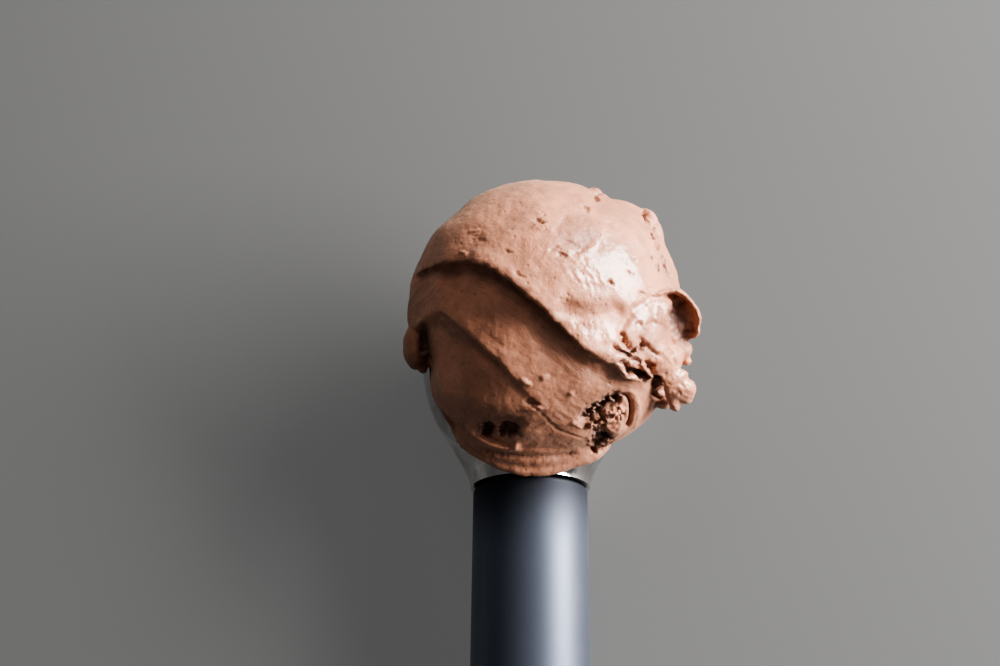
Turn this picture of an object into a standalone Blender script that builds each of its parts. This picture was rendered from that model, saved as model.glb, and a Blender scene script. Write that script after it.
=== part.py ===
"""A ball of chocolate ice cream in an ice cream scoop that lies on its back.

Sizes are millimetres until mesh_object() and the modifiers turn them into metres.
X is the scoop's right, Y runs from the handle to the bowl, and Z is up. While the
pieces are made, X = 0 is the scoop's axis, Y = 0 is the front of the seam between
handle and neck, and Z = 0 is the surface that the scoop lies on. The last step
brings the middle of the whole to the origin.
"""

import math

import bmesh
import bpy
import numpy as np
from mathutils import Euler, Vector, noise
from mathutils.geometry import interpolate_bezier

MM = 0.001

# The cast bowl and its neck.
BOWL_RADIUS = 25.4
BOWL_WALL = 2.3
BOWL_Y = 27.8
RIM_Z = 24.9
CAVITY_RADIUS = BOWL_RADIUS - BOWL_WALL
NECK_RADIUS = 14.1
NECK_HUMP = 2.2
CLEARANCE = 0.3

# The handle: a swelling grip with a round end, its axis level above the surface.
HANDLE_LENGTH = 121.0
HANDLE_TOP_RADIUS = 13.5
HANDLE_SWELL_RADIUS = 14.9
HANDLE_SWELL_AT = 75.0
SHOULDER = 1.1
AXIS_Z = HANDLE_SWELL_RADIUS
SEAM_SLOPE = 0.34
SEAM_Y = 1.5 - SEAM_SLOPE * NECK_RADIUS
SLOPE_FADE = 16.0

# The ball of ice cream: a dome over the rim with a flatter underside.
BALL_X, BALL_Y, BALL_Z = 2.8, 37.0, 28.0
BALL_RADIUS = 31.7
BALL_FRONT = 29.0
BALL_BACK = 10.5

# The ice cream's details are given where they appear from this point above the front,
# measured in the level plane at SEEN_Z.
VIEW_X, VIEW_Y, VIEW_Z = -7.2, 33.6, 573.6
SEEN_Z = 27.0

# Edges across the front, from left to right: the lip of the upper layer, the softer
# ridge to its lower left, the valley above the lip, and the crease beside the ear.
FOLD = (
    (-34.0, 42.0), (-27.9, 47.3), (-24.0, 49.9), (-21.1, 50.8), (-16.4, 51.2), (-11.8, 50.9), (-7.2, 48.7), (-2.5, 45.1),
    (2.1, 41.0), (6.7, 37.0), (11.3, 32.2), (16.0, 28.8), (21.5, 25.9), (27.1, 23.2),
)
RIDGE = (
    (-27.5, 36.1), (-25.7, 38.2), (-22.9, 39.4), (-19.9, 38.9), (-13.0, 32.9), (-7.2, 27.8),
    (-1.6, 20.8), (0.9, 18.1),
)
VALLEY = ((4.9, 41.2), (7.2, 39.1), (9.5, 37.4), (12.5, 36.7), (16.0, 36.8), (18.8, 37.6), (23.4, 40.5))
EAR_CREASE = ((22.5, 30.6), (21.1, 32.4), (20.8, 34.3), (22.0, 36.3), (23.8, 38.9), (28.7, 42.4))
FOLD_DEPTH = 3.9
RIDGE_DEPTH = 4.2
VALLEY_DEPTH = 1.3
CREASE_DEPTH = 1.7

# Hollows in the front, each (x, y, long radius, short radius, turn in degrees, depth).
PITS = (
    (-10.0, 10.9, 1.6, 1.4, 0.0, 3.6),
    (-5.1, 10.4, 2.4, 1.6, 0.0, 4.4),
    (25.2, 24.8, 2.3, 1.0, -25.0, 2.6),
    (21.5, 26.2, 1.6, 0.8, -35.0, 1.5),
    (17.4, 13.6, 7.6, 4.2, 38.0, 4.2),
)

# How far the ball's outline stands out from a true circle at angles round it from +X,
# each (angle, spread, height). Beside the bowl's left rim it stands in.
OUTLINE = (
    (44.0, 13.0, 2.2), (20.0, 12.0, 0.7), (-48.0, 20.0, 1.9), (108.0, 20.0, 0.4), (199.0, 11.0, -4.4),
)

# Fused lumps, each (centre, radii, turn about Z in degrees).
LUMPS = (
    ((0.5, 14.0, 27.0), (18.5, 12.4, 9.6), 0.0),
    ((27.3, 36.1, 42.5), (5.4, 5.2, 6.2), 0.0),
    ((34.6, 36.6, 32.0), (4.4, 5.2, 4.6), 0.0),
    ((34.9, 29.8, 34.0), (2.4, 2.4, 3.2), 0.0),
    ((32.0, 27.6, 34.5), (3.4, 3.6, 4.2), 0.0),
    ((33.3, 22.0, 32.5), (2.9, 7.5, 3.6), 26.0),
    ((30.8, 17.4, 28.5), (2.1, 1.6, 2.0), 0.0),
    ((30.0, 21.0, 27.0), (2.6, 4.4, 3.0), 0.0),
    ((15.3, 65.3, 29.0), (1.6, 1.4, 2.2), -20.0),
    ((-27.5, 30.6, 27.5), (2.2, 5.2, 3.4), 4.0),
)

# Fused strands, each (points along it, radius across, radius upwards).
EAR_RIM = (
    (27.5, 42.1, 45.0), (32.2, 43.4, 42.5), (34.5, 42.6, 41.0), (36.6, 40.5, 39.5), (38.0, 38.2, 38.5),
    (38.3, 35.9, 37.5), (38.0, 33.6, 36.5), (36.6, 31.9, 36.0),
)
LOWER_LIP = (
    (-17.6, 8.8, 27.6), (-15.3, 6.9, 28.2), (-12.3, 5.3, 28.6), (-8.6, 3.7, 28.9), (-4.4, 2.4, 29.2),
    (-0.7, 1.9, 29.3), (4.2, 2.3, 29.2), (9.0, 3.5, 28.9), (13.2, 4.9, 28.4), (16.9, 6.9, 27.8),
)
RIGHT_BEAD = ((24.8, 62.5, 30.0), (27.5, 61.4, 31.0), (29.9, 56.5, 31.0), (31.3, 50.5, 31.0), (32.2, 46.5, 31.0))
FINGER = ((18.3, 28.0, 50.8), (19.4, 25.9, 50.0), (21.3, 24.5, 49.0), (23.8, 23.4, 47.5), (26.6, 22.9, 45.0))
STRANDS = ((EAR_RIM, 0.95, 3.4), (LOWER_LIP, 1.6, 1.7), (RIGHT_BEAD, 1.1, 1.5), (FINGER, 0.9, 1.3))

# How finely each shape is made.
RING_POINTS = 40
BALL_SUBDIVISIONS = 7
VOXEL = 0.8
ICE_CREAM_FACES = 9000


# Small helpers for curves and fields.

def smoothstep(low, high, value):
    share = np.clip((value - low) / (high - low), 0.0, 1.0)
    return share * share * (3.0 - 2.0 * share)


def bezier(start, start_handle, end_handle, end, count):
    corners = [Vector((*corner, 0.0)) for corner in (start, start_handle, end_handle, end)]
    return [(point.x, point.y) for point in interpolate_bezier(*corners, count)]


def smooth_path(points, steps):
    """A Catmull-Rom curve through the points."""
    knots = [np.array(point, float) for point in points]
    knots = [2 * knots[0] - knots[1], *knots, 2 * knots[-1] - knots[-2]]
    path = []
    for a, b, c, d in zip(knots, knots[1:], knots[2:], knots[3:]):
        for t in np.arange(steps) / steps:
            bend = (2 * a - 5 * b + 4 * c - d) * t**2 + (3 * b - a - 3 * c + d) * t**3
            path.append(0.5 * (2 * b + (c - a) * t + bend))
    return [*path, knots[-2]]


def from_line(x, y, line):
    """Each point's distance to a line in plan, positive on its right, the share along it and the way right."""
    path = smooth_path(line, 3)
    spans = len(path) - 1
    nearest = np.full(len(x), np.inf)
    signed, along = np.zeros(len(x)), np.zeros(len(x))
    right = np.zeros((len(x), 2))
    for index in range(spans):
        (ax, ay), (bx, by) = path[index], path[index + 1]
        dx, dy = bx - ax, by - ay
        length = math.hypot(dx, dy)
        share = np.clip(((x - ax) * dx + (y - ay) * dy) / length**2, 0.0, 1.0)
        off_x, off_y = x - ax - share * dx, y - ay - share * dy
        distance = np.hypot(off_x, off_y)
        closer = distance < nearest
        side = np.where(dx * off_y - dy * off_x < 0.0, 1.0, -1.0)
        nearest = np.where(closer, distance, nearest)
        signed = np.where(closer, side * distance, signed)
        along = np.where(closer, (index + share) / spans, along)
        right[closer] = dy / length, -dx / length
    return signed, along, right


def as_seen(x, y, z):
    """Where points appear in the level plane at SEEN_Z."""
    nearer = (VIEW_Z - SEEN_Z) / (VIEW_Z - z)
    return VIEW_X + (x - VIEW_X) * nearer, VIEW_Y + (y - VIEW_Y) * nearer


def placed(x, y, z):
    """The point at height z that appears at x, y."""
    nearer = (VIEW_Z - SEEN_Z) / (VIEW_Z - z)
    return VIEW_X + (x - VIEW_X) / nearer, VIEW_Y + (y - VIEW_Y) / nearer, z


# Making objects.

def clear_scene():
    for old in list(bpy.data.objects):
        bpy.data.objects.remove(old)


def finish_material(name, colour, roughness, metallic):
    material = bpy.data.materials.new(name)
    material.use_nodes = True
    shader = material.node_tree.nodes["Principled BSDF"]
    shader.inputs["Base Color"].default_value = (*colour, 1.0)
    shader.inputs["Roughness"].default_value = roughness
    shader.inputs["Metallic"].default_value = metallic
    return material


def mesh_object(name, shape, material=None):
    """An object from a bmesh in millimetres."""
    bmesh.ops.recalc_face_normals(shape, faces=shape.faces)
    bmesh.ops.scale(shape, vec=(MM, MM, MM), verts=shape.verts)
    mesh = bpy.data.meshes.new(name)
    shape.to_mesh(mesh)
    shape.free()
    mesh.shade_smooth()
    mesh.set_sharp_from_angle(angle=math.radians(35.0))
    if material:
        mesh.materials.append(material)
    made = bpy.data.objects.new(name, mesh)
    bpy.context.scene.collection.objects.link(made)
    return made


def cutter_object(name, shape):
    cutter = mesh_object(name, shape)
    cutter.hide_render = True
    cutter.display_type = "WIRE"
    return cutter


def cut(target, cutter):
    boolean = target.modifiers.new(f"without_{cutter.name}", "BOOLEAN")
    boolean.operation = "DIFFERENCE"
    boolean.solver = "EXACT"
    boolean.object = cutter


def loft(rings):
    """A closed body through rings of points; a ring of one point is a pole, and other ends get a flat cap."""
    shape = bmesh.new()
    made = [[shape.verts.new(point) for point in ring] for ring in rings]
    for first, second in zip(made, made[1:]):
        if len(second) == 1:
            first, second = second, first
        count = len(second)
        for index in range(count):
            after = (index + 1) % count
            if len(first) == 1:
                shape.faces.new((first[0], second[index], second[after]))
            else:
                shape.faces.new((first[index], first[after], second[after], second[index]))
    for end in (made[0], made[-1]):
        if len(end) > 1:
            shape.faces.new(end)
    return shape


# The bowl.

def slanted(y, z, amount):
    """Leans a ring towards the slope of the seam."""
    return y + amount * SEAM_SLOPE * (z - AXIS_Z)


def bowl_ring(y, half_width, depth, centre_z, slope):
    ring = []
    for index in range(RING_POINTS):
        angle = 2.0 * math.pi * (index + 0.5) / RING_POINTS
        z = max(0.0, centre_z + depth * math.sin(angle))
        ring.append((half_width * math.cos(angle), slanted(y, z, slope), z))
    return ring


def bowl_body(grow):
    """The outside of bowl and neck, as if it were solid: round at the seam and a sphere at the tip."""
    rings = []
    flank = bezier((SEAM_Y, NECK_RADIUS), (3.5, 14.6), (10.5, BOWL_RADIUS), (BOWL_Y, BOWL_RADIUS), 15)
    back = bezier((SEAM_Y, AXIS_Z - NECK_RADIUS), (5.0, NECK_HUMP), (12.0, NECK_HUMP), (BOWL_Y, 0.0), 40)
    back_y, back_z = np.transpose(back)
    sphere_sag = BOWL_RADIUS - RIM_Z
    for y, half_width in flank:
        towards_bowl = float(smoothstep(SEAM_Y, BOWL_Y - 6.0, y))
        centre_z = AXIS_Z + (RIM_Z - AXIS_Z) * towards_bowl
        depth = centre_z - float(np.interp(y, back_y, back_z)) + sphere_sag * towards_bowl
        slope = 1.0 - float(smoothstep(SEAM_Y, SEAM_Y + SLOPE_FADE, y))
        rings.append(bowl_ring(y, half_width + grow, depth + grow, centre_z, slope))
    tip_steps = 12
    for step in range(1, tip_steps):
        angle = 0.5 * math.pi * step / tip_steps
        radius = (BOWL_RADIUS + grow) * math.cos(angle)
        rings.append(bowl_ring(BOWL_Y + (BOWL_RADIUS + grow) * math.sin(angle), radius, radius, RIM_Z, 0.0))
    rings.append([(0.0, BOWL_Y + BOWL_RADIUS + grow, RIM_Z)])
    return loft(rings)


def cavity(radius):
    """A half ball with an upright wall above it, turned about the bowl's own axis."""
    steps, top = 10, RIM_Z + 20.0
    rings = [[(0.0, BOWL_Y, RIM_Z - radius)]]
    levels = [
        (radius * math.sin(0.5 * math.pi * step / steps), RIM_Z - radius * math.cos(0.5 * math.pi * step / steps))
        for step in range(1, steps + 1)
    ]
    for ring_radius, z in [*levels, (radius, top)]:
        angles = [2.0 * math.pi * index / RING_POINTS for index in range(RING_POINTS)]
        rings.append([(ring_radius * math.cos(a), BOWL_Y + ring_radius * math.sin(a), z) for a in angles])
    return loft(rings)


def rim_height(y):
    """The front of the metal: flat at the rim, rising to the top of the neck."""
    rise = AXIS_Z + NECK_RADIUS + 0.4 - RIM_Z
    return RIM_Z + rise * (1.0 - float(smoothstep(-2.0, 9.0, y)))


def above_rim(grow):
    """All that lies in front of the rim, as a block."""
    half_width, top, low_y, high_y = 45.0, 80.0, -20.0, 60.0
    ys = [low_y, *np.linspace(-2.0, 9.0, 12), high_y]
    shape = bmesh.new()
    sides = []
    for x in (-half_width, half_width):
        lower = [shape.verts.new((x, y, rim_height(y) + grow)) for y in ys]
        upper = [shape.verts.new((x, high_y, top)), shape.verts.new((x, low_y, top))]
        sides.append([*lower, *upper])
        shape.faces.new(sides[-1])
    left, right = sides
    for index in range(len(left)):
        after = (index + 1) % len(left)
        shape.faces.new((left[index], left[after], right[after], right[index]))
    return shape


def make_bowl(material):
    bowl = mesh_object("bowl", bowl_body(0.0), material)
    cut(bowl, cutter_object("above_rim", above_rim(0.0)))
    cut(bowl, cutter_object("cavity", cavity(CAVITY_RADIUS)))
    return bowl


def make_bowl_clearance():
    """The bowl with all its walls grown, which the ice cream is cut to."""
    grown = cutter_object("bowl_clearance", bowl_body(CLEARANCE))
    cut(grown, cutter_object("above_rim_clearance", above_rim(CLEARANCE)))
    cut(grown, cutter_object("cavity_clearance", cavity(CAVITY_RADIUS - CLEARANCE)))
    return grown


# The handle.

def handle_profile():
    """(distance from the seam, radius) from the shoulder to the round end."""
    corner = [
        (SHOULDER * (1.0 - math.cos(angle)), HANDLE_TOP_RADIUS - SHOULDER * (1.0 - math.sin(angle)))
        for angle in np.linspace(0.0, 0.5 * math.pi, 4)
    ]
    swell = bezier(
        (SHOULDER, HANDLE_TOP_RADIUS), (12.0, 14.2), (46.0, HANDLE_SWELL_RADIUS),
        (HANDLE_SWELL_AT, HANDLE_SWELL_RADIUS), 9,
    )
    end = bezier(
        (HANDLE_SWELL_AT, HANDLE_SWELL_RADIUS), (100.0, HANDLE_SWELL_RADIUS),
        (HANDLE_LENGTH, 13.8), (HANDLE_LENGTH, 0.0), 14,
    )
    return [*corner, *swell[1:], *end[1:-1]]


def make_handle(material):
    rings = []
    for distance, radius in handle_profile():
        slope = 1.0 - float(smoothstep(0.0, SLOPE_FADE, distance))
        ring = []
        for index in range(RING_POINTS):
            angle = 2.0 * math.pi * (index + 0.5) / RING_POINTS
            z = AXIS_Z + radius * math.sin(angle)
            ring.append((radius * math.cos(angle), slanted(SEAM_Y - CLEARANCE - distance, z, slope), z))
        rings.append(ring)
    rings.append([(0.0, SEAM_Y - CLEARANCE - HANDLE_LENGTH, AXIS_Z)])
    return mesh_object("handle", loft(rings), material)


# The ice cream.

def outline_swell(azimuth):
    """How far the ball's outline stands out, by the angle round it in degrees."""
    swell = np.zeros(len(azimuth))
    for centre, spread, height in OUTLINE:
        off = (azimuth - centre + 180.0) % 360.0 - 180.0
        swell += height * np.exp(-((off / spread) ** 2))
    return swell


def overhang(below, reach, along):
    """How far an upper edge leans out over what is below it; it is sharpest at the edge."""
    lean = np.exp(-((np.minimum(below, 0.0) / 2.5) ** 2)) * (1.0 - smoothstep(0.0, 1.1, below))
    return reach * lean * smoothstep(0.0, 0.2, along) * (1.0 - 0.7 * smoothstep(0.8, 1.0, along))


def fold_depth(below, along):
    """The step down under the upper layer's lip, and the lip's own raised edge."""
    step = smoothstep(0.0, 1.0, below)
    coming_back = 0.22 + 0.78 * np.exp(-np.maximum(below, 0.0) / 12.0)
    narrowing = 1.0 - 0.5 * smoothstep(0.55, 1.0, along)
    raised = 0.5 * np.exp(-(((below + 1.2) / 1.3) ** 2))
    return FOLD_DEPTH * step * coming_back * narrowing - raised


def ridge_depth(x, y, below):
    """The hollow flank to the lower left of the ridge, deepest beside the bowl's left rim."""
    to_the_left = 0.12 + 0.88 * smoothstep(-3.0, -23.0, x)
    upwards = smoothstep(12.0, 33.0, y)
    return RIDGE_DEPTH * smoothstep(0.0, 1.4, below) * to_the_left * upwards


def valley_depth(below):
    """A dip that is soft above the line and sharp below it."""
    return VALLEY_DEPTH * np.exp(np.minimum(below, 0.0) / 2.2) * (1.0 - smoothstep(0.0, 0.9, below))


def pit_depth(x, y, pit):
    centre_x, centre_y, long_radius, short_radius, turn, depth = pit
    c, s = math.cos(math.radians(turn)), math.sin(math.radians(turn))
    across = ((x - centre_x) * c + (y - centre_y) * s) / long_radius
    along = (-(x - centre_x) * s + (y - centre_y) * c) / short_radius
    return depth * (1.0 - smoothstep(0.45, 1.15, np.hypot(across, along)))


def ball_shape():
    """A dome pushed back by the folds and pits of its front."""
    shape = bmesh.new()
    bmesh.ops.create_icosphere(shape, subdivisions=BALL_SUBDIVISIONS, radius=1.0)
    unit = np.array([vert.co for vert in shape.verts])
    azimuth = np.degrees(np.arctan2(unit[:, 1], unit[:, 0]))
    near_outline = np.exp(-((unit[:, 2] / 0.5) ** 2))
    unevenness = np.array([noise.noise(Vector(point) * 4.0) for point in unit])
    radius = BALL_RADIUS + outline_swell(azimuth) * near_outline + 0.5 * unevenness
    x, y = BALL_X + unit[:, 0] * radius, BALL_Y + unit[:, 1] * radius
    z = BALL_Z + unit[:, 2] * np.where(unit[:, 2] > 0.0, BALL_FRONT + 0.6 * unevenness, BALL_BACK)
    seen_x, seen_y = as_seen(x, y, z)
    below_fold, along_fold, under_fold = from_line(seen_x, seen_y, FOLD)
    below_ridge, along_ridge, under_ridge = from_line(seen_x, seen_y, RIDGE)
    depth = fold_depth(below_fold, along_fold) + ridge_depth(seen_x, seen_y, below_ridge)
    depth += valley_depth(from_line(seen_x, seen_y, VALLEY)[0])
    depth += CREASE_DEPTH * np.exp(-((from_line(seen_x, seen_y, EAR_CREASE)[0] / 0.9) ** 2))
    for pit in PITS:
        depth += pit_depth(seen_x, seen_y, pit)
    front = smoothstep(-0.1, 0.35, unit[:, 2])
    lean = front * overhang(below_fold, 1.1, along_fold)
    ridge_lean = front * overhang(below_ridge, 0.7, 0.12 + along_ridge)
    points = np.stack((x, y, z - depth * front), axis=1)
    points[:, :2] += lean[:, None] * under_fold + ridge_lean[:, None] * under_ridge
    for vert, point in zip(shape.verts, points):
        vert.co = point
    return shape


def add_lump(shape, centre, radii, turn):
    made = bmesh.ops.create_icosphere(shape, subdivisions=3, radius=1.0)["verts"]
    bmesh.ops.scale(shape, vec=radii, verts=made)
    turned = Euler((0.0, 0.0, math.radians(turn))).to_matrix()
    bmesh.ops.rotate(shape, matrix=turned, cent=(0.0, 0.0, 0.0), verts=made)
    bmesh.ops.translate(shape, vec=centre, verts=made)


def strand_shape(points, across, upwards):
    """A strand with an oval section and tapered, rounded ends."""
    path = [Vector(point) for point in smooth_path(points, 4)]
    rings = [[path[0]]]
    for index in range(1, len(path) - 1):
        tangent = path[index + 1] - path[index - 1]
        sideways = Vector((tangent.y, -tangent.x, 0.0)).normalized()
        share = index / (len(path) - 1)
        taper = min(1.0, 0.45 + 4.0 * min(share, 1.0 - share))
        ring = []
        for step in range(12):
            angle = 2.0 * math.pi * step / 12
            offset = sideways * across * math.cos(angle) + Vector((0.0, 0.0, upwards * math.sin(angle)))
            ring.append(path[index] + offset * taper)
        rings.append(ring)
    rings.append([path[-1]])
    return loft(rings)


def join_shape(shape, other):
    """Adds a copy of another bmesh to this one."""
    bmesh.ops.recalc_face_normals(other, faces=other.faces)
    scratch = bpy.data.meshes.new("scratch")
    other.to_mesh(scratch)
    other.free()
    shape.from_mesh(scratch)
    bpy.data.meshes.remove(scratch)


def make_ice_cream(material, clearance):
    shape = ball_shape()
    for centre, radii, turn in LUMPS:
        add_lump(shape, placed(*centre), radii, turn)
    add_lump(shape, (0.0, BOWL_Y, RIM_Z), (CAVITY_RADIUS + 1.0,) * 3, 0.0)
    for points, across, upwards in STRANDS:
        join_shape(shape, strand_shape([placed(*point) for point in points], across, upwards))
    ice_cream = mesh_object("ice_cream", shape, material)
    fuse = ice_cream.modifiers.new("fuse", "REMESH")
    fuse.mode = "VOXEL"
    fuse.voxel_size = VOXEL * MM
    soften = ice_cream.modifiers.new("soften", "SMOOTH")
    soften.factor = 0.5
    soften.iterations = 1
    graph = bpy.context.evaluated_depsgraph_get()
    fused_faces = sum(len(face.vertices) - 2 for face in ice_cream.evaluated_get(graph).data.polygons)
    thin_out = ice_cream.modifiers.new("thin_out", "DECIMATE")
    thin_out.ratio = ICE_CREAM_FACES / fused_faces
    cut(ice_cream, clearance)
    return ice_cream


# Placing the whole.

def centre_on_origin(pieces):
    """Hangs the pieces and their cutters on an empty, and moves it so that the pieces are about the origin."""
    graph = bpy.context.evaluated_depsgraph_get()
    corners = []
    for piece in pieces:
        mesh = piece.evaluated_get(graph).data
        points = np.empty(len(mesh.vertices) * 3)
        mesh.vertices.foreach_get("co", points)
        corners.append(points.reshape(-1, 3))
    points = np.concatenate(corners)
    middle = (points.min(axis=0) + points.max(axis=0)) / 2.0
    whole = bpy.data.objects.new("loaded_scoop", None)
    for shaped in bpy.context.scene.collection.objects:
        shaped.parent = whole
    bpy.context.scene.collection.objects.link(whole)
    whole.location = (-middle[0], -middle[1], 0.0)


def main():
    clear_scene()
    chocolate = finish_material("chocolate_ice_cream", (0.42, 0.20, 0.13), 0.4, 0.0)
    metal = finish_material("polished_metal", (0.78, 0.78, 0.79), 0.15, 1.0)
    grip = finish_material("dark_grip", (0.03, 0.033, 0.038), 0.35, 0.5)
    bowl = make_bowl(metal)
    clearance = make_bowl_clearance()
    handle = make_handle(grip)
    ice_cream = make_ice_cream(chocolate, clearance)
    centre_on_origin([bowl, handle, ice_cream])


main()
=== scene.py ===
"""The looks of a loaded ice cream scoop: a folded ball of chocolate ice cream in a polished metal bowl, with a
dark satin grip. The scoop lies on its back and the camera looks straight down on it.

Places on the scoop are in millimetres in its own frame: X = 0 is the scoop's axis, Y = 0 is the front of the seam
between grip and neck, and Z = 0 is the floor. mesh_piece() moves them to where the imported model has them.
"""

import math

import bmesh
import bpy
import numpy as np
from mathutils import Euler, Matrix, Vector, noise
from mathutils.geometry import interpolate_bezier


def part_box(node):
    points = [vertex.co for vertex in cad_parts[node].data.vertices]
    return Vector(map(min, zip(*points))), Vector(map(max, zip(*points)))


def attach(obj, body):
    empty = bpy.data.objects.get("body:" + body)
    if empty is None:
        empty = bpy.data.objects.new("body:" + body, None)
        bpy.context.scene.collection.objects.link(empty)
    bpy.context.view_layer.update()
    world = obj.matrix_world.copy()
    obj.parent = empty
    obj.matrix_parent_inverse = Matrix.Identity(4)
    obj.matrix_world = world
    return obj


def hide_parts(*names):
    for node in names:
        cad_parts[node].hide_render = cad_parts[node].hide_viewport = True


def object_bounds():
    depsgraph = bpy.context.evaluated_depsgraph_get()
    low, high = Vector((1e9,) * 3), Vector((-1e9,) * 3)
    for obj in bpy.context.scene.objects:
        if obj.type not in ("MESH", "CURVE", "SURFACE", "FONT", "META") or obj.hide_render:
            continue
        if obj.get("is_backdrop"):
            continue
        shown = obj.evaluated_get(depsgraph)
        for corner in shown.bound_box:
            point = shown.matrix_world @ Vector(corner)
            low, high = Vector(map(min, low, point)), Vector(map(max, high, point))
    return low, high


bl_info = {
    "name": "Loaded Ice Cream Scoop",
    "version": (1, 0, 0),
    "blender": (4, 5, 0),
    "location": "3D View > Sidebar > Scoop",
    "description": "Makes a ball of chocolate ice cream in a metal scoop, with its floor, lights and camera",
    "category": "Add Mesh",
}

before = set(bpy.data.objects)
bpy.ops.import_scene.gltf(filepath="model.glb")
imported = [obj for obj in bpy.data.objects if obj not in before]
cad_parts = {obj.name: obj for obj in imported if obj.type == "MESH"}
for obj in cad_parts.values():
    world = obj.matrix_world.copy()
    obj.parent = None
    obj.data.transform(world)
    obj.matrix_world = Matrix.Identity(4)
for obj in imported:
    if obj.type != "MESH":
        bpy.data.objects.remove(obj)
CAD_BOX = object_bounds()

MM = 0.001

# The cast bowl and its neck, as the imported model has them.
BOWL_Y = 27.8
RIM_Z = 24.9
NECK_RADIUS = 14.1
NECK_HUMP = 2.2
AXIS_Z = 14.9
SEAM_SLOPE = 0.34
SEAM_Y = 1.5 - SEAM_SLOPE * NECK_RADIUS
SEAM_GAP = 0.3
SLOPE_FADE = 16.0

# The grip swells from its shoulder to its widest, then rounds off to its end. Painted shade darkens its coating
# over the first GRIP_SHADE millimetres below the seam, where it lies under the ball.
GRIP_LENGTH = 121.0
GRIP_TOP_RADIUS = 13.5
GRIP_SWELL_AT = 75.0
GRIP_SHOULDER = 1.1
GRIP_SHADE = 18.0
END_SQUARENESS, END_BLUNTNESS = 3.5, 0.476
EDGE_ANGLE = 40.0

# The ball of ice cream: a dome over the rim with a flatter underside.
BALL_X, BALL_Y, BALL_Z = 2.8, 37.0, 28.0
BALL_RADIUS = 31.7
BALL_FRONT = 29.0
BALL_BACK = 10.5
# The fine relief comes in between these heights.
RELIEF_Z = (20.0, 26.0)

# The ice cream's details are given where they appear from this point above the front,
# measured in the level plane at SEEN_Z. The camera stands at that point.
VIEW_X, VIEW_Y, VIEW_Z = -7.2, 33.6, 573.6
SEEN_Z = 27.0
LENS = 85.0
SENSOR = 36.0

# Edges across the front, from left to right: the lip of the upper layer, the softer
# ridge to its lower left, the valley above the lip, and the crease beside the ear.
FOLD = (
    (-34, 42), (-27.9, 47.3), (-24, 49.9), (-21.1, 50.8), (-16.4, 51.2), (-11.8, 50.9), (-7.2, 48.7),
    (-2.5, 45.1), (2.1, 41), (6.7, 37), (11.3, 32.2), (16, 28.8), (21.5, 25.9), (27.1, 23.2),
)
RIDGE = (
    (-27.5, 36.1), (-25.7, 38.2), (-22.9, 39.4), (-19.9, 38.9), (-13, 32.9), (-7.2, 27.8),
    (-1.6, 20.8), (0.9, 18.1),
)
VALLEY = ((4.9, 41.2), (7.2, 39), (9.5, 37.6), (12.5, 37.1), (16, 37.3), (19.4, 38.2), (22.6, 40.2))
EAR_CREASE = ((22.5, 30.6), (21.1, 32.4), (20.8, 34.3), (22, 36.3), (23.8, 38.9), (28.7, 42.4))
FOLD_DEPTH = 4.8
RIDGE_DEPTH = 4.2
VALLEY_DEPTH = 1.7
CREASE_DEPTH, CREASE_WIDTH = 1.0, 0.9

# How far the ball's outline stands out from a true circle at angles round it from +X,
# each (angle, spread, height). Beside the bowl's left rim it stands in.
OUTLINE = (
    (44, 13, 2.4), (64, 5, -1), (20, 12, 0.7), (-48, 20, 1.9), (108, 20, 0.4), (199, 11, -4.4),
)

# Fused lumps, each (centre, radii, turn about Z in degrees).
LUMPS = (
    ((0.5, 14, 27), (18.5, 12.4, 9.6), 0), ((27.4, 37.6, 41.6), (6, 5, 5.2), 28),
    ((26.2, 33.8, 42.6), (4.6, 4.2, 5), 0), ((33.2, 36.6, 36.2), (5, 6.2, 4.8), -8),
    ((34.9, 29.8, 34), (2.4, 2.4, 3.2), 0), ((36, 27, 33), (1.3, 1, 2), 0), ((31.4, 27.6, 36), (3.6, 4.6, 4.2), 0),
    ((30.6, 17.8, 30.5), (2.2, 1.8, 3), 0), ((30, 21, 27), (2.6, 4.4, 3), 0),
    ((14.6, 65.6, 30), (1.9, 1.6, 2.6), -20), ((16.8, 64.6, 31), (1.6, 1, 2.4), -35),
    ((-26.9, 30.2, 27.5), (2.8, 5.2, 3.8), 4), ((-25.4, 27.4, 26), (1.6, 3.4, 2.2), 8),
    ((-24, 28.4, 25.4), (1.5, 2.6, 2), 0),
)

# Fused strands, each (points along it, radius across, radius upwards, unevenness).
EAR_RIM = (
    (27.5, 42.1, 45), (32.2, 43.4, 42.5), (34.7, 42.8, 41), (36.9, 40.7, 39.5), (38.3, 38.3, 38.5),
    (38.6, 35.9, 37.5), (38.2, 33.4, 36.5), (36.4, 31.7, 36),
)
LOWER_LIP = (
    (-18.4, 12.2, 25.4), (-16.2, 9.4, 26.8), (-14.2, 7.6, 27.8), (-11.8, 5.9, 28.4), (-8.4, 4.1, 28.9),
    (-4.4, 2.7, 29.2), (-0.7, 2, 29.3), (4.2, 2.3, 29.2), (9, 3.5, 28.9), (13.2, 4.9, 28.4), (16.6, 6.9, 27.6),
    (18.6, 9, 26.4),
)
RIM_SMEAR = ((-22.2, 30, 25), (-21.9, 24, 25.2), (-20.9, 18.4, 25.2), (-18.4, 13.4, 25.2), (-15.2, 9.4, 25.6))
RIGHT_BEAD = ((25.4, 62, 30), (27.6, 60.8, 31), (29.2, 56.5, 31), (30.7, 50.5, 31), (31.6, 46.5, 31))
ARM = (
    (23.6, 34, 45), (26.2, 31, 45.6), (28.8, 28.2, 43.6), (31.2, 25.4, 40.6), (33.4, 22.4, 38),
    (35, 19.2, 36), (35.2, 17, 35),
)
ARM_EDGE = ((28.6, 25.4, 42.5), (30.6, 22.6, 39.5), (32.2, 19.6, 37), (33.2, 16.6, 35.4), (33, 15.4, 34.6))
FINGER = ((18.6, 29.6, 51), (19.2, 27.2, 50.3), (20.8, 25, 49.2), (22.7, 23.4, 48), (26.2, 22.8, 45.4))
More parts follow.
